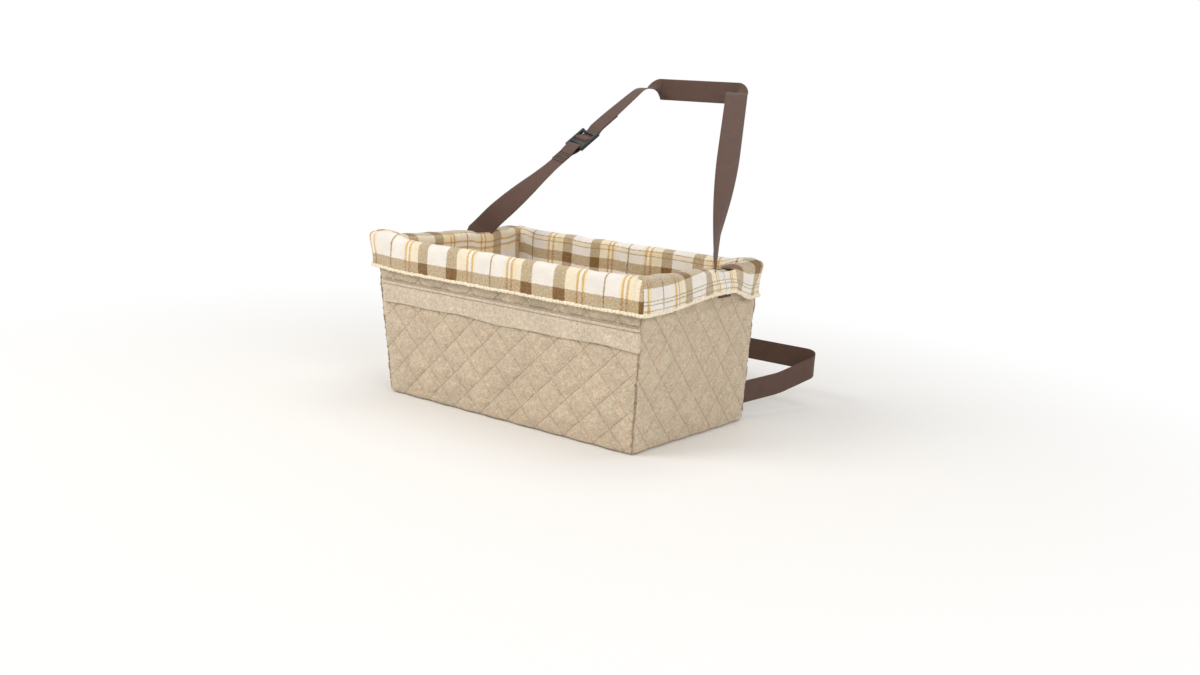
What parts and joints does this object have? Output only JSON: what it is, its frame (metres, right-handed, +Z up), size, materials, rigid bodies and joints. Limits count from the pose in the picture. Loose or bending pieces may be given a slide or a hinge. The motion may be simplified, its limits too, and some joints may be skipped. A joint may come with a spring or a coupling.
{
  "type": "dog car seat",
  "caption": "Quilted booster box for a small dog, with a plush cuff, a zipped front pocket, support straps to a headrest loop and a buckled seat-back strap.",
  "frame": {"origin": "middle of the headrest loop, on the centre line of the webbing that passes behind the two headrest posts", "axes": "+Z up, -Y towards the front of the box with the pocket, +X to the right of someone who faces the front"},
  "size_m": [0.5676, 0.5632, 0.549],
  "materials": {
    "suede": "brushed microsuede, quilted",
    "pocket_suede": "brushed microsuede, smooth",
    "fleece": "plush fleece with a plaid in cream, taupe and brown",
    "binding": "soft hem",
    "lining": "plain weave",
    "foam": "closed-cell foam board",
    "webbing": "ribbed webbing",
    "steel": "bare drawn rod",
    "black_plastic": "moulded, satin",
    "zinc": "dark plated"
  },
  "bodies": {
    "box": {"rim_frame_left": "steel", "rim_frame_right": "steel", "rim_ferrule_front": "steel", "rim_ferrule_rear": "steel", "rim_casing_front": "lining", "rim_casing_rear": "lining", "rim_casing_left": "lining", "rim_casing_right": "lining", "quilted_panel_front": "suede", "quilted_panel_rear": "suede", "quilted_panel_left": "suede", "quilted_panel_right": "suede", "wall_board_front": "foam", "wall_board_rear": "foam", "wall_board_left": "foam", "wall_board_right": "foam", "liner_front": "fleece", "liner_rear": "fleece", "liner_left": "fleece", "liner_right": "fleece", "cuff_binding_front": "binding", "cuff_binding_rear": "binding", "cuff_binding_left": "binding", "cuff_binding_right": "binding", "base_panel": "suede", "base_board": "foam", "liner_floor": "fleece", "pocket_pouch": "lining", "zip_tape_upper": "lining", "zip_tape_lower": "lining", "zip_teeth": "black_plastic", "left_support_strap": "webbing", "strap_slide": "black_plastic", "headrest_strap": "webbing", "seat_strap_left": "webbing", "seat_strap_right": "webbing", "buckle_socket": "black_plastic", "buckle_plug": "black_plastic"},
    "cushion": {"floor_cushion": "fleece"},
    "flap": {"pocket_flap": "pocket_suede"},
    "slider": {"zip_slider": "zinc"},
    "pull": {"zip_pull": "zinc"},
    "arm_upper": {"buckle_arm_upper": "black_plastic"},
    "arm_lower": {"buckle_arm_lower": "black_plastic"}
  },
  "joints": [
    {"name": "cushion_lift", "type": "slide", "parent": "box", "child": "cushion", "axis": [0, 0, 1], "range_m": [0, 0.16]},
    {"name": "flap_lift", "type": "hinge", "parent": "box", "child": "flap", "pos_m": [0, -0.53179, -0.333], "axis": [-1, 0, 0], "range_deg": [0, 90], "stiffness_Nm_per_rad": 0.02},
    {"name": "zip_slide", "type": "slide", "parent": "box", "child": "slider", "axis": [1, 0, 0], "range_m": [0, 0.385]},
    {"name": "pull_swing", "type": "hinge", "parent": "slider", "child": "pull", "pos_m": [-0.1965, -0.52677, -0.3525], "axis": [0, 0.1107, -0.9939], "range_deg": [0, 5]},
    {"name": "arm_upper_squeeze", "type": "hinge", "parent": "box", "child": "arm_upper", "pos_m": [-0.004, 0.013, -0.443], "axis": [0, 1, 0], "range_deg": [0, 12], "stiffness_Nm_per_rad": 0.8},
    {"name": "arm_lower_squeeze", "type": "hinge", "parent": "box", "child": "arm_lower", "pos_m": [-0.004, 0.013, -0.467], "axis": [0, -1, 0], "range_deg": [0, 12], "stiffness_Nm_per_rad": 0.8}
  ],
  "couplings": [
    {"joint": "arm_lower_squeeze", "follows": "arm_upper_squeeze", "ratio": 1}
  ]
}
